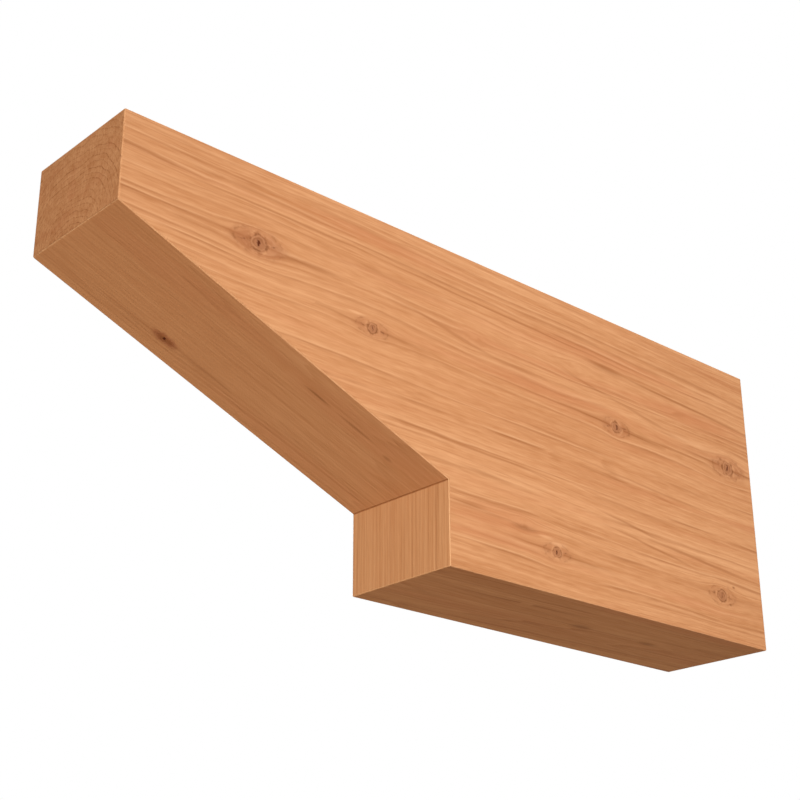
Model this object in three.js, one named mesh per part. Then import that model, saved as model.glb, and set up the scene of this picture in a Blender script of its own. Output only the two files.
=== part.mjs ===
// Rafter tail: the shaped end of a sawn roof timber, one solid piece of wood.
//
// A straight rectangular blank is sawn to a six-sided outline and its sharp arrises are eased.
// The level top carries the roof boards and the square wall end meets the building. Under the
// outer half the soffit slants up from a plumb step to a shallow plumb tip.
//
// Millimetres, +X towards the wall, +Y across the timber, +Z up.
// The origin is on the underside, in the middle of the length and of the width.

import * as THREE from "three";

// Driving dimensions
const LENGTH = 632;
const HEIGHT = 241.3;
const WIDTH = 101.6;
const TIP_HEIGHT = 65.2;
const STEP_HEIGHT = 62.2;
const SLANT_RUN = 275.5;
const ARRIS = 1;

// Timber finish
const TIMBER_COLOUR = 0xcd9064;
const TIMBER_ROUGHNESS = 0.55;

// Corners of the outline seen from the near side, anticlockwise from the tip's lower corner.
// Only the inner corner, where the slant meets the step, stays as sharp as the saw left it.
const tipX = -LENGTH / 2;
const stepX = tipX + SLANT_RUN;
const wallX = LENGTH / 2;
const corners = [
  { x: tipX, z: HEIGHT - TIP_HEIGHT, eased: true },
  { x: stepX, z: STEP_HEIGHT, eased: false },
  { x: stepX, z: 0, eased: true },
  { x: wallX, z: 0, eased: true },
  { x: wallX, z: HEIGHT, eased: true },
  { x: tipX, z: HEIGHT, eased: true },
];

// Point on the edge from one corner towards another, a set distance away from the first
function pointTowards(from, to, distance) {
  const start = new THREE.Vector2(from.x, from.z);
  const run = new THREE.Vector2(to.x, to.z).sub(start).setLength(distance);
  return start.add(run);
}

// Side outline of the timber, with a small flat across every outer corner
function timberOutline() {
  const points = [];
  corners.forEach((corner, index) => {
    if (!corner.eased) {
      points.push(new THREE.Vector2(corner.x, corner.z));
      return;
    }
    const before = corners.at(index - 1);
    const after = corners[(index + 1) % corners.length];
    points.push(pointTowards(corner, before, ARRIS));
    points.push(pointTowards(corner, after, ARRIS));
  });
  return new THREE.Shape(points);
}

// The timber: the outline run across the width, with the arrises of both side faces eased too
function timberGeometry() {
  return new THREE.ExtrudeGeometry(timberOutline(), {
    depth: WIDTH - 2 * ARRIS,
    bevelEnabled: true,
    bevelSegments: 1,
    bevelThickness: ARRIS,
    bevelSize: ARRIS,
    bevelOffset: -ARRIS,
  });
}

function makeRafterTail() {
  const timber = new THREE.MeshStandardMaterial({
    color: TIMBER_COLOUR,
    roughness: TIMBER_ROUGHNESS,
    metalness: 0,
  });
  const mesh = new THREE.Mesh(timberGeometry(), timber);
  mesh.name = "rafter_tail";
  mesh.rotation.x = Math.PI / 2;
  mesh.position.y = WIDTH / 2 - ARRIS;
  return mesh;
}

const group = new THREE.Group();
group.add(makeRafterTail());

export default group;
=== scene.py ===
"""A planed softwood rafter tail, seen from below its tip, over a pale floor in soft light.

The timber's outline and arrises are modelled round the frame's own box. The wood is a solid
pattern in the object's coordinates: rings and streaks run along the timber, bend round the
knots, and turn into arcs where the end is cut across. On the soffit and on the step the pattern
is turned, so that it runs along the face there too.
"""

import math

import bmesh
import bpy
from mathutils import Euler, Matrix, Vector


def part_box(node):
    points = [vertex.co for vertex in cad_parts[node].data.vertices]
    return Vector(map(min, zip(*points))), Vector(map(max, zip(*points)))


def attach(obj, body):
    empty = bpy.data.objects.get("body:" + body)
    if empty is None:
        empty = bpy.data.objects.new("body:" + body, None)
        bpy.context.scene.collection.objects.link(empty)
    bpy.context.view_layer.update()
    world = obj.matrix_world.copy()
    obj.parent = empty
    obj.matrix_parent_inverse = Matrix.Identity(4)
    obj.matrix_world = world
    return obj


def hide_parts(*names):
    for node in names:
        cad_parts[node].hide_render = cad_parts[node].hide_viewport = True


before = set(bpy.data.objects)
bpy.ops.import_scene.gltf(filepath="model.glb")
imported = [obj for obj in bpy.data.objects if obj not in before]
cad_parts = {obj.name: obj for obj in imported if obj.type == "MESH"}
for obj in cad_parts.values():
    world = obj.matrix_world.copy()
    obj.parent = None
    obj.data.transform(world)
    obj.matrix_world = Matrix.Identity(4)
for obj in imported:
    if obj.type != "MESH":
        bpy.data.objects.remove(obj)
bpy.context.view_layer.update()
low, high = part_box("rafter_tail")

# The timber, in metres
TIP_HEIGHT = 0.0652
STEP_HEIGHT = 0.0622
SLANT_RUN = 0.2755
ARRIS = 0.001
ARRIS_STEPS = 4
SHARP = math.radians(40)
SAME_PLACE = 1e-6

step_x = low.x + SLANT_RUN
step_z = low.z + STEP_HEIGHT
nose_z = high.z - TIP_HEIGHT
slant_angle = math.atan2(nose_z - step_z, SLANT_RUN)
along_slant = Vector((math.cos(slant_angle), 0, -math.sin(slant_angle)))
out_of_soffit = Vector((-math.sin(slant_angle), 0, -math.cos(slant_angle)))

# The outline from the near side, anticlockwise from the tip's lower corner
nose = Vector((low.x, low.y, nose_z))
outline = [
    nose,
    Vector((step_x, low.y, step_z)),
    Vector((step_x, low.y, low.z)),
    Vector((high.x, low.y, low.z)),
    Vector((high.x, low.y, high.z)),
    Vector((low.x, low.y, high.z)),
]

# The paler arris, partly wear and partly a painted highlight of the rounding catching the light,
# starts where an arris has turned this far from the flat faces, as one minus the turn's cosine, and
# grows over the second of these. The third is the share that the sides go without
WEAR_AND_HIGHLIGHT_FROM = 0.03
WEAR_AND_HIGHLIGHT_OVER = 0.2
SIDE_LESS_WEAR_AND_HIGHLIGHT = 0.9

# The same timber in millimetres, as its wood is drawn
MILLIMETRES = 1000.0
LENGTH_MM = (high.x - low.x) * MILLIMETRES
STEP_AT_MM = SLANT_RUN * MILLIMETRES
STEP_HEIGHT_MM = STEP_HEIGHT * MILLIMETRES


class Knot:
    """A branch that the saw cut across, in millimetres of the wood's own place.

    It starts at the surface, runs inwards and narrows to nothing at its length. The heart, the
    halo and the tail say how dark its middle, the wood around it and the lines beside it are.
    """

    def __init__(self, place, inwards, radius, length, heart=0.0, halo=0.0, tail=0.0):
        self.place = Vector(place)
        self.inwards = Vector(inwards).normalized()
        self.radius = radius
        self.length = length
        self.heart = heart
        self.halo = halo
        self.tail = tail


class Fleck:
    """A mark in the wood, with its half sizes, its strength and how far it falls along the grain."""

    def __init__(self, place, reach, strength, fall=0.0):
        self.place = place
        self.reach = reach
        self.strength = strength
        self.fall = fall


# The pattern of a sawn face is kept apart from the sides' by this much, in millimetres
SOFFIT_APART = 400.0
STEP_APART = 800.0

side_knots = [
    Knot((106.6, 0, 184.2), (0.10, 1, -0.12), 6.6, 240, 1.0, 0.8, 0.6),
    Knot((205.1, 0, 154.3), (-0.06, 1, 0.10), 4.6, 80, 0.6, 0.5, 0.6),
    Knot((458.5, 0, 149.1), (0.12, 1, -0.05), 5.0, 90, 0.8, 0.6, 0.9),
    Knot((600.0, 0, 149.9), (-0.15, 1, 0.08), 6.6, 230, 0.9, 0.6, 0.8),
    Knot((382.8, 0, 31.6), (0.05, 1, 0.14), 4.4, 80, 1.0, 0.4, 0.7),
    Knot((577.7, 0, 36.2), (-0.08, 1, 0.10), 5.4, 90, 0.5, 0.3, 0.3),
]
soffit_knot = Knot((98.5, 80.2, -SOFFIT_APART), (0, 0, 1), 3.1, 60, 1.0, 1.4, 0.3)

# Places where the grain swells round a branch that never reached the surface
swells = [
    Knot((300, 0, 176), (0.02, 1, 0), 5.0, 60),
    Knot((416, 0, 186), (-0.05, 1, 0.05), 5.0, 70),
    Knot((350, 0, 46), (0.05, 1, 0), 4.0, 60),
]

# Short dark marks beside the knots, on the soffit and on the underside
flecks = [
    Fleck((350, 0, 43), (12, 4, 2.2), 0.45),
    Fleck((191, 22.5, -SOFFIT_APART), (10, 1.1, 4), 0.75),
    Fleck((228, 23, -SOFFIT_APART), (15, 1.2, 4), 0.5),
    Fleck((262, 26.5, -SOFFIT_APART), (4, 1.6, 4), 0.45),
    Fleck((140, 80, -SOFFIT_APART), (18, 1.2, 4), 0.3),
    Fleck((461.5, 49, 0), (10, 4, 4), 0.5),
    Fleck((540.5, 50, 0), (10, 3, 4), 0.5),
    Fleck((594, 0, 45.7), (1.6, 3, 1.0), 0.8),
    Fleck((588, 0, 30.4), (1.6, 3, 1.0), 0.8),
    Fleck((591.5, 0, 156.2), (1.8, 3, 1.2), 0.8),
]

# Paler streaks beside some knots
glints = [
    Fleck((384.7, 0, 37.8), (8, 3, 1.5), 0.7),
    Fleck((371.6, 0, 41.0), (7, 3, 1.2), 0.5),
    Fleck((191, 0, 161.5), (7, 3, 1.2), 0.5),
]

# The darkest grain lines of the near side
NEAR_ONLY = 30
grain_streaks = [
    Fleck((125, 0, 211.5), (75, NEAR_ONLY, 0.9), 0.50, 0.01),
    Fleck((345, 0, 206.0), (110, NEAR_ONLY, 0.9), 0.55, 0.03),
    Fleck((450, 0, 196.5), (22, NEAR_ONLY, 2.2), 0.60, 0.03),
    Fleck((535, 0, 192.5), (75, NEAR_ONLY, 1.1), 0.55, 0.05),
    Fleck((285, 0, 174.5), (45, NEAR_ONLY, 1.3), 0.38, 0.17),
    Fleck((345, 0, 167.0), (28, NEAR_ONLY, 1.6), 0.38, 0.02),
    Fleck((425, 0, 177.0), (27, NEAR_ONLY, 1.1), 0.40, 0.13),
    Fleck((490, 0, 168.0), (40, NEAR_ONLY, 1.4), 0.35, 0.15),
    Fleck((375, 0, 151.5), (75, NEAR_ONLY, 0.8), 0.35, 0.02),
    Fleck((525, 0, 148.5), (65, NEAR_ONLY, 0.9), 0.35, 0.03),
    Fleck((395, 0, 123.5), (50, NEAR_ONLY, 0.9), 0.35, 0.04),
    Fleck((500, 0, 107.0), (100, NEAR_ONLY, 0.9), 0.35, 0.05),
    Fleck((320, 0, 89.5), (60, NEAR_ONLY, 0.9), 0.45, 0.03),
    Fleck((245, 0, 93.0), (25, NEAR_ONLY, 0.9), 0.45, 0.03),
    Fleck((310, 0, 75.0), (22, NEAR_ONLY, 1.0), 0.40, 0.02),
    Fleck((470, 0, 71.0), (35, NEAR_ONLY, 1.0), 0.50, 0.12),
    Fleck((555, 0, 60.0), (60, NEAR_ONLY, 1.3), 0.55, 0.08),
    Fleck((495, 0, 58.5), (45, NEAR_ONLY, 1.0), 0.50, 0.13),
    Fleck((460, 0, 41.5), (22, NEAR_ONLY, 1.2), 0.40),
    Fleck((295, 0, 48.5), (14, NEAR_ONLY, 2.0), 0.35),
]

# Wood with fainter lines, above the middle of the timber
calm = [Fleck((290, 0, 163), (190, 200, 30), 0.55)]

# Redder wood, as flames along the grain
flames = [
    Fleck((350, 0, 176), (110, 60, 20), 0.3),
    Fleck((325, 0, 42), (60, 60, 15), 0.8),
    Fleck((560, 0, 185), (70, 60, 14), 0.6),
    Fleck((470, 0, 206), (80, 60, 9), 0.9),
    Fleck((240, 0, 224), (90, 60, 7), 0.6),
    Fleck((60, 18, -SOFFIT_APART), (80, 15, 8), 1.0),
    Fleck((235, 20, -SOFFIT_APART), (60, 13, 8), 1.2),
    Fleck((240, 87, -SOFFIT_APART), (70, 11, 8), 1.0),
]


# Mesh of the timber

def edge_is_inner_corner(edge):
    return all(
        abs(vert.co.x - step_x) < SAME_PLACE and abs(vert.co.z - step_z) < SAME_PLACE
        for vert in edge.verts
    )


def saw_blank():
    """The prism under the outline, run from the near side to the far side."""
    bm = bmesh.new()
    face = bm.faces.new([bm.verts.new(point) for point in outline])
    run = bmesh.ops.extrude_face_region(bm, geom=[face])
    far_verts = [item for item in run["geom"] if isinstance(item, bmesh.types.BMVert)]
    bmesh.ops.translate(bm, verts=far_verts, vec=(0, high.y - low.y, 0))
    bmesh.ops.recalc_face_normals(bm, faces=bm.faces[:])
    return bm


def ease_arrises(bm):
    """Every outer edge is rounded; the inner corner stays sharp."""
    outer = [edge for edge in bm.edges if not edge_is_inner_corner(edge)]
    bmesh.ops.bevel(
        bm,
        geom=outer,
        offset=ARRIS,
        offset_type="OFFSET",
        segments=ARRIS_STEPS,
        profile=0.5,
        affect="EDGES",
        material=-1,
    )


def keep_corner_sharp(bm):
    """The soffit and the step meet in a crisp line."""
    for edge in bm.edges:
        if len(edge.link_faces) == 2 and edge.calc_face_angle(0) > SHARP:
            edge.smooth = False


def mark_arris_wear_and_highlight(bm):
    """Stores how far each point is turned from the flat faces, for the paler arris: wear and painted
    highlight.

    The points of the inner corner are on no arris, so they get no paler arris.
    """
    arris_wear_and_highlight = bm.verts.layers.float.new("arris_wear_and_highlight")
    flats = [out_of_soffit]
    for direction in (Vector((1, 0, 0)), Vector((0, 1, 0)), Vector((0, 0, 1))):
        flats += [direction, -direction]
    bm.normal_update()
    for vert in bm.verts:
        if any(edge_is_inner_corner(edge) for edge in vert.link_edges):
            continue
        turned = 1.0 - max(vert.normal.dot(flat) for flat in flats)
        share = min(1.0, max(0.0, (turned - WEAR_AND_HIGHLIGHT_FROM) / WEAR_AND_HIGHLIGHT_OVER))
        vert[arris_wear_and_highlight] = share * (1.0 - SIDE_LESS_WEAR_AND_HIGHLIGHT * abs(vert.normal.y))


def make_timber():
    bm = saw_blank()
    ease_arrises(bm)
    keep_corner_sharp(bm)
    mark_arris_wear_and_highlight(bm)
    mesh = bpy.data.meshes.new("rafter_tail_timber")
    bm.to_mesh(mesh)
    bm.free()
    for polygon in mesh.polygons:
        polygon.use_smooth = True
    timber = bpy.data.objects.new("rafter_tail_timber", mesh)
    bpy.context.scene.collection.objects.link(timber)
    even = timber.modifiers.new("flat faces shade flat", "WEIGHTED_NORMAL")
    even.keep_sharp = True
    return timber


# Shader maths

# Blender's Mix node has sockets of its own for vectors and for colours
MIX_FACTOR = 0
MIX_VECTORS = (4, 5)
MIX_VECTOR_OUT = 1
MIX_COLOURS = (6, 7)
MIX_COLOUR_OUT = 2


class Wire:
    """An output of a shader node. Arithmetic on it adds Math nodes to its tree."""

    def __init__(self, nodes, socket):
        self.nodes = nodes
        self.socket = socket

    def __add__(self, other):
        return self.nodes.math("ADD", self, other)

    def __sub__(self, other):
        return self.nodes.math("SUBTRACT", self, other)

    def __mul__(self, other):
        return self.nodes.math("MULTIPLY", self, other)

    def __truediv__(self, other):
        return self.nodes.math("DIVIDE", self, other)

    def __radd__(self, other):
        return self.nodes.math("ADD", other, self)

    def __rsub__(self, other):
        return self.nodes.math("SUBTRACT", other, self)

    def __rmul__(self, other):
        return self.nodes.math("MULTIPLY", other, self)

    def __rtruediv__(self, other):
        return self.nodes.math("DIVIDE", other, self)


class Nodes:
    """A node tree whose nodes are added by expressions."""

    def __init__(self, tree):
        self.tree = tree

    def node(self, kind, settings, inputs, output=0):
        """Adds a node: its settings first, then a value or a wire for each socket."""
        node = self.tree.nodes.new(kind)
        for name, value in settings.items():
            setattr(node, name, value)
        for name, value in inputs.items():
            self.feed(node.inputs[name], value)
        return Wire(self, node.outputs[output])

    def feed(self, socket, value):
        if isinstance(value, Wire):
            self.tree.links.new(value.socket, socket)
        else:
            socket.default_value = value

    def math(self, operation, *values):
        return self.node("ShaderNodeMath", {"operation": operation}, dict(enumerate(values)))

    def vector(self, operation, *values):
        return self.node("ShaderNodeVectorMath", {"operation": operation}, dict(enumerate(values)))

    def measure(self, operation, *values):
        """A vector operation whose answer is a number, such as a length or a dot product."""
        settings = {"operation": operation}
        return self.node("ShaderNodeVectorMath", settings, dict(enumerate(values)), "Value")

    def scaled(self, vector, factor):
        settings = {"operation": "SCALE"}
        return self.node("ShaderNodeVectorMath", settings, {0: vector, "Scale": factor})

    def size(self, value):
        """A number without its sign."""
        return self.math("ABSOLUTE", value)

    def most(self, *values):
        result = values[0]
        for value in values[1:]:
            result = self.math("MAXIMUM", result, value)
        return result

    def rise(self, value, start, stop):
        """0 before start and 1 past stop, with a soft curve between."""
        settings = {"interpolation_type": "SMOOTHSTEP"}
        inputs = {"Value": value, "From Min": start, "From Max": stop}
        return self.node("ShaderNodeMapRange", settings, inputs)

    def hump(self, value, width):
        """1 where the value is 0, falling away softly over the width on both sides."""
        share = value / width
        return 1 / (1 + share * share)

    def clouds(self, place, grain, detail=2.0, output=0):
        """Soft random clouds, with grain as their size in millimetres along each axis."""
        spread = self.vector("MULTIPLY", place, [1 / size for size in grain])
        inputs = {"Vector": spread, "Scale": 1.0, "Detail": detail}
        return self.node("ShaderNodeTexNoise", {}, inputs, output)

    def noise(self, place, grain, detail=2.0):
        """Clouds as a number from -1 to 1."""
        return self.clouds(place, grain, detail) * 2 - 1

    def draw(self, count):
        """A number from 0 to 1 that stays the same between one whole count and the next."""
        settings = {"noise_dimensions": "1D"}
        return self.node("ShaderNodeTexWhiteNoise", settings, {"W": count})

    def parts(self, vector):
        """The three numbers of a vector, each as a wire."""
        sockets = self.node("ShaderNodeSeparateXYZ", {}, {0: vector}).socket.node.outputs
        return [Wire(self, socket) for socket in sockets]

    def join(self, *values):
        return self.node("ShaderNodeCombineXYZ", {}, dict(enumerate(values)))

    def swap(self, factor, first, second):
        """The first vector, or the second where the factor is 1."""
        inputs = {MIX_FACTOR: factor, **dict(zip(MIX_VECTORS, (first, second)))}
        return self.node("ShaderNodeMix", {"data_type": "VECTOR"}, inputs, MIX_VECTOR_OUT)

    def colour(self, factor, first, second, blend="MIX"):
        """The first colour, or the blend of both where the factor is 1."""
        settings = {"data_type": "RGBA", "blend_type": blend}
        inputs = {MIX_FACTOR: factor, **dict(zip(MIX_COLOURS, (first, second)))}
        return self.node("ShaderNodeMix", settings, inputs, MIX_COLOUR_OUT)


class Finish(Nodes):
    """A material of one shader, whose sockets are fed by name."""

    def __init__(self, name):
        self.material = bpy.data.materials.new(name)
        self.material.use_nodes = True
        super().__init__(self.material.node_tree)

    def feed_shader(self, inputs):
        shader = self.tree.nodes["Principled BSDF"]
        for name, value in inputs.items():
            self.feed(shader.inputs[name], value)


# The wood

# The pith runs under the middle of the tip and leans towards the near side along the timber
PITH = (0.0, 58.0, 150.0)
PITH_LEAN = 0.020
OVER_PITH = 48.0
RING_FLATNESS = 0.8
RING_SQUARENESS = 3.0
RING_WIDTH = 3.3
FAINTEST_YEAR = 0.35

# The grain lines' distance apart, and where in it the dark line and the painted highlight above it
# lie
LINE_GAP = 4.6
DARK_LINE_AT = 0.42
HIGHLIGHT_LINE_AT = 0.76
FAINTEST_LINE = 0.14
LINE_DRAW = 37.0
GRAIN_FALL = 0.018

# A mark is gone at the first of these shares of its half size, and full at the second
MARK_FADE = (1.6, 0.2)

# The finish of a face starts at the first depth in the wood and is full at the second. At the
# inner corner one face gives way to the other over the edge's width. All in millimetres
SKIN = (0.8, 0.4)
END_SKIN = (0.9, 0.4)
CORNER_EDGE = 0.2
# The painted shade of the inner corner is full within the second of these and gone past the first
CREASE_SHADE = (1.0, 0.3)

# The bend round a knot is longer than wide by the stretch. It is full out to the second of these
# and gone past the third, as shares of the knot's radius
KNOT_STRETCH = 2.2
BEND_ALL = 2.0
BEND_NONE = 9.0
SWELL_BEND = 0.6

# A knot grows to its radius between these depths, which lie outside the timber
KNOT_START = (-12.0, -6.0)
LEAST_RADIUS = 0.02

# How far the shake moves a place, and the size of its clouds
SHAKE = (5.0, 4.5, 4.5)
SHAKE_GRAIN = (6.25, 5, 5)

# Grain: sizes of the clouds, in millimetres along the timber, across it and up
WANDER = (260, 60, 50)
RING_SWAY = (400, 70, 70)
RING_RIPPLE = (230, 18, 15)
RING_PATCH = (300, 22, 22)
LINE_SWERVE = (260, 18, 13)
LINE_RIPPLE = (28, 6, 5)
LINE_RUN = (80, 7, 6)
BAND = (500, 46, 30)
STREAK = (220, 8, 6.5)
FIBRE = (15, 1.5, 1.3)
SPECK = (8, 1.7, 3.4)
HAIR = (90, 1.0, 1.0)
FLAME = (260, 22, 13)
RAGGED = (60, 20, 12)
TAIL_WANDER = (45, 12, 12)
ARRIS_PATCH = (7, 5, 5)
KNOT_BREAK = (2.4, 2.4, 1.7)
KNOT_PATCH = (5, 5, 4.4)

# Contrast: how much of its range the wood's tone gets from each of them
MIDDLE_TONE = 0.56
BAND_TONE = 0.36
STREAK_TONE = 0.62
FIBRE_TONE = 0.44
SPECK_TONE = 0.5
HAIR_TONE = 0.50
SOFFIT_TONE = 0.03
STEP_TONE = 0.07

BUMP_HEIGHT = 0.0002
ROUGHNESS = 0.58
FIBRE_ROUGHNESS = 0.05
SPECULAR_LEVEL = 0.07

LIGHT_WOOD = (0.515, 0.252, 0.118, 1)
DARK_WOOD = (0.365, 0.146, 0.056, 1)
# Pale early wood, also used for the painted highlights above the grain lines and for the glints
PALE_WOOD_AND_HIGHLIGHT = (0.640, 0.345, 0.178, 1)
RED_WOOD = (0.400, 0.142, 0.060, 1)
LATE_WOOD = (0.235, 0.078, 0.024, 1)
KNOT_HALO = (0.300, 0.107, 0.046, 1)
KNOT_WOOD = (0.295, 0.117, 0.053, 1)
KNOT_LINE = (0.150, 0.046, 0.013, 1)
KNOT_HEART = (0.070, 0.012, 0.003, 1)
# The paler arrises' colour, partly wear and partly a painted highlight
WORN_AND_HIGHLIT_WOOD = (0.780, 0.470, 0.260, 1)
END_SHADE = (0.83, 0.81, 0.775, 1)
STEP_SHADE = (0.94, 0.97, 0.96, 1)


def timber_place(finish):
    """Millimetres from the tip, from the near side and above the underside."""
    seat = finish.node("ShaderNodeTexCoord", {}, {}, "Object")
    corner = [-place * MILLIMETRES for place in low]
    inputs = {"Vector": seat, "Location": corner, "Scale": [MILLIMETRES] * 3}
    return finish.node("ShaderNodeMapping", {}, inputs)


def wood_place(finish, timber):
    """The timber's place, but along the face's own grain on the soffit and on the step."""
    from_tip, from_near, height = finish.parts(timber)
    offset = finish.vector("SUBTRACT", timber, (nose - low) * MILLIMETRES)
    along = finish.measure("DOT_PRODUCT", offset, along_slant)
    inside = finish.measure("DOT_PRODUCT", offset, -out_of_soffit)
    before_step = finish.rise(from_tip, STEP_AT_MM, STEP_AT_MM - CORNER_EDGE)
    soffit = finish.rise(inside, *SKIN) * before_step
    under_corner = finish.rise(height, STEP_HEIGHT_MM + SKIN[0], STEP_HEIGHT_MM - CORNER_EDGE)
    step = finish.rise(finish.size(from_tip - STEP_AT_MM), *SKIN) * (1 - soffit) * under_corner
    on_soffit = finish.join(along, from_near, inside - SOFFIT_APART)
    on_step = finish.join(height, from_near, from_tip - STEP_APART)
    place = finish.swap(soffit, timber, on_soffit)
    return finish.swap(step, place, on_step), soffit, step


class Faces:
    """How far a place belongs to the sawn faces, and how strongly the grain shows there.

    The fine and the broad grain are weaker on the faces that look down and on the step, and the
    lines of the lower half are a little stronger.
    """

    def __init__(self, finish, timber, soffit, step):
        from_tip, _, height = finish.parts(timber)
        tip = finish.rise(from_tip, *END_SKIN)
        wall = finish.rise(from_tip, *[LENGTH_MM - depth for depth in END_SKIN])
        underside = finish.rise(height, *SKIN)
        self.soffit = soffit
        self.step = step
        self.end = finish.most(tip, wall)
        self.fine = 1 - 0.55 * soffit - 0.40 * underside - 0.60 * step
        self.broad = 1 - 0.52 * soffit - 0.85 * step
        self.lower = 1 + 0.18 * finish.rise(height, 150.0, 120.0) * (1 - underside)


def knot_view(finish, place, knot):
    """How far a place lies from a knot: the offset across it as a share of its radius."""
    offset = finish.vector("SUBTRACT", place, knot.place)
    depth = finish.measure("DOT_PRODUCT", offset, knot.inwards)
    across = finish.vector("SUBTRACT", offset, finish.scaled(knot.inwards, depth))
    taper = finish.rise(depth, *KNOT_START) * (1 - depth / knot.length)
    radius = finish.most(knot.radius * taper, LEAST_RADIUS)
    return finish.scaled(across, 1 / radius), radius


def bend_grain(finish, bent, share, radius, strength=1.0):
    """Pushes the grain aside, as water round a stone, less and less away from the knot."""
    reach = finish.measure("LENGTH", finish.vector("MULTIPLY", share, (1 / KNOT_STRETCH, 1, 1)))
    push = radius / finish.most(reach * reach, 1.0) * finish.rise(reach, BEND_NONE, BEND_ALL)
    aside = finish.scaled(finish.vector("MULTIPLY", share, (0, strength, strength)), push)
    return finish.vector("SUBTRACT", bent, aside), reach


def shaken_place(finish, place):
    """The place with a small shake in every direction, so that no knot is quite round."""
    clouds = finish.clouds(place, SHAKE_GRAIN, output="Color")
    centred = finish.vector("SUBTRACT", clouds, (0.5, 0.5, 0.5))
    return finish.vector("ADD", place, finish.vector("MULTIPLY", centred, SHAKE))


def run_round_knots(finish, place):
    """Bends the grain round every knot, and finds the nearest knot for its colours."""
    shaken = shaken_place(finish, place)
    from_tip, from_near, height = finish.parts(place)
    wander = finish.noise(place, WANDER, detail=1.0) * 2.5 + GRAIN_FALL * from_tip
    bent = finish.join(from_tip, from_near + 0.4 * wander, height + wander)
    nearest = None
    for knot in side_knots + [soffit_knot]:
        share, radius = knot_view(finish, shaken, knot)
        bent, reach = bend_grain(finish, bent, share, radius)
        traits = (knot.heart, knot.halo, knot.tail)
        if nearest is None:
            nearest, closest, chosen, centre = reach, share, traits, knot.place
        else:
            nearer = finish.math("LESS_THAN", reach, nearest)
            closest = finish.swap(nearer, closest, share)
            chosen = finish.swap(nearer, chosen, traits)
            centre = finish.swap(nearer, centre, knot.place)
            nearest = finish.math("MINIMUM", nearest, reach)
    for swell in swells:
        share, radius = knot_view(finish, shaken, swell)
        bent, _ = bend_grain(finish, bent, share, radius, SWELL_BEND)
    return bent, nearest, closest, chosen, finish.vector("SUBTRACT", place, centre)


def year_rings(finish, bent):
    """The dark line that ends each year's growth, and the pale one that starts the next."""
    sway = 7.0 * finish.noise(bent, RING_SWAY, detail=0.0) + 3.4 * finish.noise(bent, RING_RIPPLE)
    along, aside, above = finish.parts(finish.vector("SUBTRACT", bent, PITH))
    aside = finish.math("POWER", finish.size(aside + PITH_LEAN * along), RING_SQUARENESS)
    flat = finish.math("POWER", finish.size(RING_FLATNESS * above), RING_SQUARENESS)
    radius = finish.math("POWER", aside + flat, 1 / RING_SQUARENESS)
    count = (radius + sway) / RING_WIDTH
    within = finish.math("FRACT", count)
    draw = finish.draw(finish.math("FLOOR", count))
    year = FAINTEST_YEAR + (1 - FAINTEST_YEAR) * draw
    shown = finish.rise(finish.noise(bent, RING_PATCH, detail=1.0), -0.4, 0.3) * year
    shown = shown * (1 - 0.9 * finish.hump(above, OVER_PITH))
    late = finish.rise(within, 0.70, 0.95) * finish.rise(within, 1.0, 0.96)
    early = finish.rise(within, 0.20, 0.03)
    return late * shown, early * shown, late * year


def grain_lines(finish, bent):
    """Thin dark lines side by side, each with a painted highlight above it as if it stood raised in
    light from above, that come and go on their way.
    """
    _, from_near, height = finish.parts(bent)
    swerve = 1.1 * finish.noise(bent, LINE_SWERVE) + 0.10 * finish.noise(bent, LINE_RIPPLE)
    count = (height + from_near) / LINE_GAP + swerve
    within = finish.math("FRACT", count)
    line = finish.draw(finish.math("FLOOR", count) + LINE_DRAW)
    runs = finish.rise(finish.noise(bent, LINE_RUN), -0.35, 0.2)
    strength = (FAINTEST_LINE + (1 - FAINTEST_LINE) * line * line) * runs
    dark = finish.hump(within - DARK_LINE_AT, 0.10 + 0.13 * line) * strength
    # The pale line is a painted highlight, as if each grain line were a ridge lit from above
    pale = finish.hump(within - HIGHLIGHT_LINE_AT, 0.13) * strength
    return dark, pale


def marks(finish, place, spots):
    """The strongest of several soft marks at a place."""
    found = []
    for spot in spots:
        offset = finish.vector("SUBTRACT", place, spot.place)
        if spot.fall:
            fallen = spot.fall * finish.measure("DOT_PRODUCT", offset, (1, 0, 0))
            offset = finish.vector("ADD", offset, finish.join(0.0, 0.0, fallen))
        share = finish.vector("MULTIPLY", offset, [1 / reach for reach in spot.reach])
        found.append(finish.rise(finish.measure("LENGTH", share), *MARK_FADE) * spot.strength)
    return finish.most(*found)


def paint_fibres(finish, bent, place, streaks, fibres, specks, faces):
    """The wood between its lines, from broad bands to single fibres and redder flames."""
    bands = finish.noise(bent, BAND, detail=1.0)
    hairs = finish.noise(place, HAIR, detail=1.0) * faces.step
    tone = MIDDLE_TONE + faces.broad * (BAND_TONE * bands + STREAK_TONE * streaks)
    tone = tone + FIBRE_TONE * faces.fine * fibres
    tone = tone + SPECK_TONE * specks * faces.end + HAIR_TONE * hairs
    tone = tone - SOFFIT_TONE * faces.soffit - STEP_TONE * faces.step
    tone = finish.math("MINIMUM", finish.most(tone, 0.0), 1.0)
    colour = finish.colour(tone, DARK_WOOD, LIGHT_WOOD)
    flame = finish.noise(bent, FLAME) + 0.5 * marks(finish, place, flames)
    return finish.colour(finish.rise(flame, 0.0, 0.7) * faces.broad * 0.5, colour, RED_WOOD)


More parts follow.
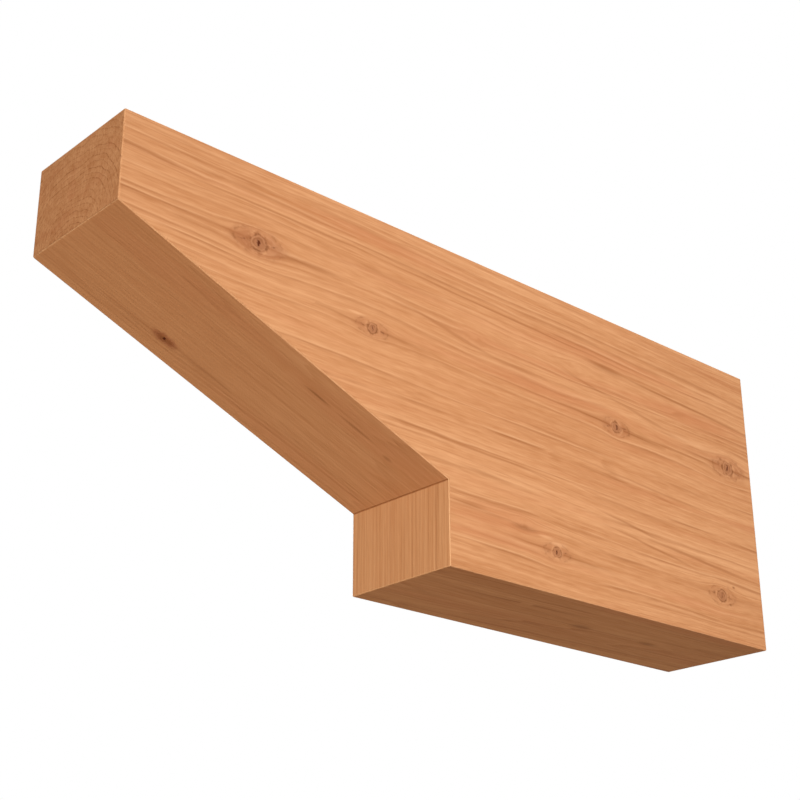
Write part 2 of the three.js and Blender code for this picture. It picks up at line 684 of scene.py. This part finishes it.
def paint_lines(finish, colour, place, rings, lines, specks, faces):
    """The year rings and the grain lines. The rings are darkest where the end is cut across."""
    late, early, end_ring = rings
    dark_line, highlight_line = lines
    lined = faces.fine * (1 - faces.end) * (1 - 0.4 * faces.soffit)
    lined = lined * (1 - marks(finish, place, calm)) * faces.lower
    speckled = 0.2 + 0.8 * finish.rise(specks, 0.3, -0.3)
    # Pale early wood, and the painted highlight above each grain line
    pale = finish.most(early * faces.broad * 0.25, highlight_line * lined * 0.6)
    dark = finish.most(late * faces.broad * 0.5, dark_line * lined * 0.70)
    dark = finish.most(dark, end_ring * faces.end * speckled * 0.95)
    colour = finish.colour(pale, colour, PALE_WOOD_AND_HIGHLIGHT)
    return finish.colour(dark, colour, LATE_WOOD)


def paint_marks(finish, colour, timber, place, fibres, faces):
    """The darkest lines of the near side, the flecks and the glints."""
    from_tip, from_near, height = finish.parts(timber)
    ragged = finish.join(from_tip, from_near, height + 1.6 * finish.noise(timber, RAGGED))
    planed = (1 - faces.soffit) * (1 - faces.step) * (1 - faces.end)
    streaked = marks(finish, ragged, grain_streaks) * planed
    colour = finish.colour(streaked * (1.0 + 0.4 * fibres), colour, LATE_WOOD)
    colour = finish.colour(marks(finish, place, flecks) * 0.8, colour, KNOT_LINE)
    return finish.colour(marks(finish, place, glints) * 0.8, colour, PALE_WOOD_AND_HIGHLIGHT)


def paint_tails(finish, colour, place, from_knot, chosen, faces):
    """A dark line runs into each knot from both sides, along the grain and slightly downhill."""
    _, _, tail = finish.parts(chosen)
    along, aside, above = finish.parts(from_knot)
    drop = aside + above + 0.05 * along + 1.6 * finish.noise(place, TAIL_WANDER, detail=1.0)
    reach = finish.size(along)
    shown = finish.rise(reach, 80.0, 8.0) * finish.rise(reach, 4.0, 8.0)
    strength = tail * (1 - faces.end)
    return finish.colour(finish.hump(drop, 0.9) * shown * strength, colour, LATE_WOOD)


def paint_knots(finish, colour, place, nearest, closest, chosen):
    """Paints the nearest knot, and finds how far it stands out of the wood.

    Distances are shares of the knot's radius. A knot with a strong halo has hardly any rings.
    """
    heart, halo, _ = finish.parts(chosen)
    ringed = finish.rise(halo, 1.4, 0.8)
    along, aside, above = finish.parts(closest)
    beside = finish.size(along)
    up = finish.size(aside + above)
    share = finish.measure("LENGTH", finish.vector("MULTIPLY", closest, (0.86, 1, 1)))
    broken = finish.noise(place, KNOT_BREAK)
    patchy = finish.rise(finish.noise(place, KNOT_PATCH), -0.25, 0.25)

    # The darker wood around it, its own wood, and a smudge where it has no rings
    almond = finish.rise(nearest + 0.3 * broken, 2.1, 0.8)
    core = finish.rise(share, 1.05, 0.85)
    smudge = finish.rise(nearest + 0.3 * broken, 1.15, 0.45) * (1 - ringed)
    colour = finish.colour(almond * halo * 0.7, colour, KNOT_HALO)
    colour = finish.colour(core * 0.75, colour, KNOT_WOOD)
    colour = finish.colour(smudge * 0.7, colour, LATE_WOOD)

    # Its rings
    pale = finish.hump(share - 1.18, 0.10) * (1 - patchy) + 0.6 * finish.hump(share - 0.72, 0.07)
    colour = finish.colour(pale * 0.5 * ringed, colour, LIGHT_WOOD)
    rim = finish.hump(share - 0.88, 0.06 + 0.09 * patchy) * (0.15 + 0.85 * patchy)
    inner = finish.hump(share - 0.50, 0.09) * (0.9 - 0.8 * patchy)
    outer = finish.hump(nearest - 1.42 - 0.12 * broken, 0.09)
    outer = outer * patchy * finish.rise(beside, 0.6, 1.8)
    lines = finish.most(rim * 0.75, inner * 0.5, outer * 0.4)
    colour = finish.colour(lines * (0.35 + 0.65 * ringed), colour, KNOT_LINE)

    # The crack in its heart, wider where it has no rings, and a thin check on either side
    wide = 0.18 * (1 - ringed)
    crack = finish.rise(beside + 0.16 * broken, 0.22 + wide, 0.06 + wide)
    crack = crack * finish.rise(up + 0.1 * broken, 0.46, 0.26) * heart
    check = finish.hump(beside - 1.9, 0.38) * finish.hump(up, 0.11)
    check = check * finish.rise(broken, -0.4, 0.3)
    colour = finish.colour(finish.most(check * 0.6, crack * 0.95), colour, KNOT_HEART)
    return colour, 0.5 * core - 0.6 * rim - 0.8 * check - crack


def paint_arris_wear_and_highlight(finish, place):
    """The rounded edges are painted paler in places, partly as wear and partly as a highlight."""
    arris_wear_and_highlight = finish.node("ShaderNodeAttribute", {"attribute_name": "arris_wear_and_highlight"}, {}, "Fac")
    arris_patches = finish.rise(finish.noise(place, ARRIS_PATCH), -0.5, 0.4)
    return arris_wear_and_highlight * (0.3 + 0.65 * arris_patches)


def painted_crease_shade(finish, timber):
    """Painted shade: the thin dark line of shadow where the soffit meets the step, which stops short
    of the near side.
    """
    from_tip, from_near, height = finish.parts(timber)
    across = finish.join(from_tip - STEP_AT_MM, 0.0, height - STEP_HEIGHT_MM)
    line = finish.rise(finish.measure("LENGTH", across), *CREASE_SHADE)
    return line * finish.rise(from_near, 0.5, 1.5)


def make_wood():
    finish = Finish("planed softwood")
    timber = timber_place(finish)
    place, soffit, step = wood_place(finish, timber)
    faces = Faces(finish, timber, soffit, step)
    bent, nearest, closest, chosen, from_knot = run_round_knots(finish, place)
    rings = year_rings(finish, bent)
    lines = grain_lines(finish, bent)
    streaks = finish.noise(bent, STREAK)
    fibres = finish.noise(bent, FIBRE, detail=1.0)
    specks = finish.noise(place, SPECK, detail=1.0)

    colour = paint_fibres(finish, bent, place, streaks, fibres, specks, faces)
    colour = paint_lines(finish, colour, place, rings, lines, specks, faces)
    colour = paint_marks(finish, colour, timber, place, fibres, faces)
    colour = paint_tails(finish, colour, place, from_knot, chosen, faces)
    colour, knot_relief = paint_knots(finish, colour, place, nearest, closest, chosen)
    # Paler arrises: partly wear, partly a painted highlight where the rounding catches the light
    colour = finish.colour(paint_arris_wear_and_highlight(finish, place), colour, WORN_AND_HIGHLIT_WOOD)

    # Ends cut across the grain are darker, and the sawn step is a little greyer
    colour = finish.colour(faces.end, colour, END_SHADE, "MULTIPLY")
    colour = finish.colour(faces.step, colour, STEP_SHADE, "MULTIPLY")
    # Painted shade along the inner corner where the soffit meets the step
    colour = finish.colour(painted_crease_shade(finish, timber) * 0.8, colour, LATE_WOOD)

    relief = 0.4 * rings[0] + 0.4 * fibres + 0.3 * streaks - 0.4 * lines[0] + 0.8 * knot_relief
    bump = {"Strength": 1.0, "Distance": BUMP_HEIGHT, "Height": relief}
    finish.feed_shader({
        "Base Color": colour,
        "Normal": finish.node("ShaderNodeBump", {}, bump),
        "Roughness": ROUGHNESS - FIBRE_ROUGHNESS * fibres,
        "Specular IOR Level": SPECULAR_LEVEL,
    })
    return finish.material


# Camera, light and floor

LENS = 70.46
SENSOR_WIDTH = 36.0
CAMERA_AT = (-0.7458, -0.7768, -0.3072)
CAMERA_AZIMUTH = -42.275
CAMERA_ELEVATION = -22.948
CAMERA_ROLL = -0.238

FLOOR_Z = -1.6
FLOOR_RADIUS = 4.0
FLOOR_FADE_FROM = 1.0
FLOOR_SEGMENTS = 96
FLOOR_COLOUR = (0.87, 0.81, 0.72, 1)
FLOOR_ROUGHNESS = 0.9
AMBIENT = (0.320, 0.287, 0.240, 1)
WHITE = (1, 1, 1, 1)


def set_camera():
    data = bpy.data.cameras.new("camera")
    data.lens = LENS
    data.sensor_width = SENSOR_WIDTH
    camera = bpy.data.objects.new("camera", data)
    turn = Euler((math.radians(90 - CAMERA_ELEVATION), 0, math.radians(CAMERA_AZIMUTH)))
    roll = Matrix.Rotation(math.radians(CAMERA_ROLL), 4, "Z")
    camera.matrix_world = Matrix.Translation(CAMERA_AT) @ turn.to_matrix().to_4x4() @ roll
    bpy.context.scene.collection.objects.link(camera)
    bpy.context.scene.camera = camera


def area_light(
    name, azimuth, elevation, distance, size, power, spread, colour=(1, 1, 1), aim=0.0
):
    """A square soft light, seen from the timber's middle at an azimuth and elevation.

    It faces the middle, or a point at the aim's distance from it towards the wall end.
    """
    data = bpy.data.lights.new(name, "AREA")
    data.shape = "SQUARE"
    data.size = size
    data.energy = power
    data.color = colour
    data.spread = math.radians(spread)
    a, e = math.radians(azimuth), math.radians(elevation)
    back = Vector((math.sin(a) * math.cos(e), -math.cos(a) * math.cos(e), math.sin(e)))
    light = bpy.data.objects.new(name, data)
    middle = (low + high) / 2
    place = middle + back * distance
    facing = (place - middle - Vector((aim, 0, 0))).to_track_quat("Z", "Y")
    light.matrix_world = Matrix.Translation(place) @ facing.to_matrix().to_4x4()
    light.visible_camera = False
    bpy.context.scene.collection.objects.link(light)


def set_lights():
    """A broad key light on the near side, a warm bounce on the soffit, and two fills."""
    area_light(
        "key", azimuth=-34.5, elevation=-3, distance=2.6, size=1.2,
        power=13.6, spread=55, colour=(0.94, 0.975, 1), aim=0.32,
    )
    area_light(
        "bounce", azimuth=-70, elevation=-38, distance=1.9, size=1.2,
        power=1.15, spread=60, colour=(1, 0.67, 0.27),
    )
    area_light("sky", azimuth=0, elevation=90, distance=1.4, size=1.5, power=7, spread=90)
    area_light("back", azimuth=140, elevation=20, distance=1.5, size=1.2, power=7, spread=80)


def lay_floor():
    """A warm pale floor well below the timber, which fades out into the white around it."""
    bm = bmesh.new()
    bmesh.ops.create_circle(bm, cap_ends=True, radius=FLOOR_RADIUS, segments=FLOOR_SEGMENTS)
    bmesh.ops.translate(bm, verts=bm.verts[:], vec=(0, 0, FLOOR_Z))
    mesh = bpy.data.meshes.new("floor")
    bm.to_mesh(mesh)
    bm.free()
    floor = bpy.data.objects.new("floor", mesh)
    bpy.context.scene.collection.objects.link(floor)
    finish = Finish("pale floor")
    seat = finish.node("ShaderNodeTexCoord", {}, {}, "Object")
    reach = finish.measure("LENGTH", finish.vector("MULTIPLY", seat, (1, 1, 0)))
    finish.feed_shader({
        "Base Color": FLOOR_COLOUR,
        "Roughness": FLOOR_ROUGHNESS,
        "Alpha": finish.rise(reach, FLOOR_RADIUS, FLOOR_FADE_FROM),
    })
    floor.data.materials.append(finish.material)


def surround():
    """White where the camera looks past the timber, and a softer warm grey where it lights it."""
    world = bpy.data.worlds.new("studio")
    world.use_nodes = True
    nodes = Nodes(world.node_tree)
    lit = world.node_tree.nodes["Background"]
    nodes.feed(lit.inputs["Color"], AMBIENT)
    seen = nodes.node("ShaderNodeBackground", {"name": "seen"}, {"Color": WHITE})
    past = nodes.node("ShaderNodeLightPath", {}, {}, "Is Camera Ray")
    shaders = {0: past, 1: Wire(nodes, lit.outputs["Background"]), 2: seen}
    mix = nodes.node("ShaderNodeMixShader", {}, shaders)
    nodes.feed(world.node_tree.nodes["World Output"].inputs["Surface"], mix)
    bpy.context.scene.world = world


timber = make_timber()
timber.data.materials.append(make_wood())
set_camera()
set_lights()
lay_floor()
surround()
bpy.context.scene.view_settings.view_transform = "Standard"

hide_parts("rafter_tail")
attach(timber, "root")
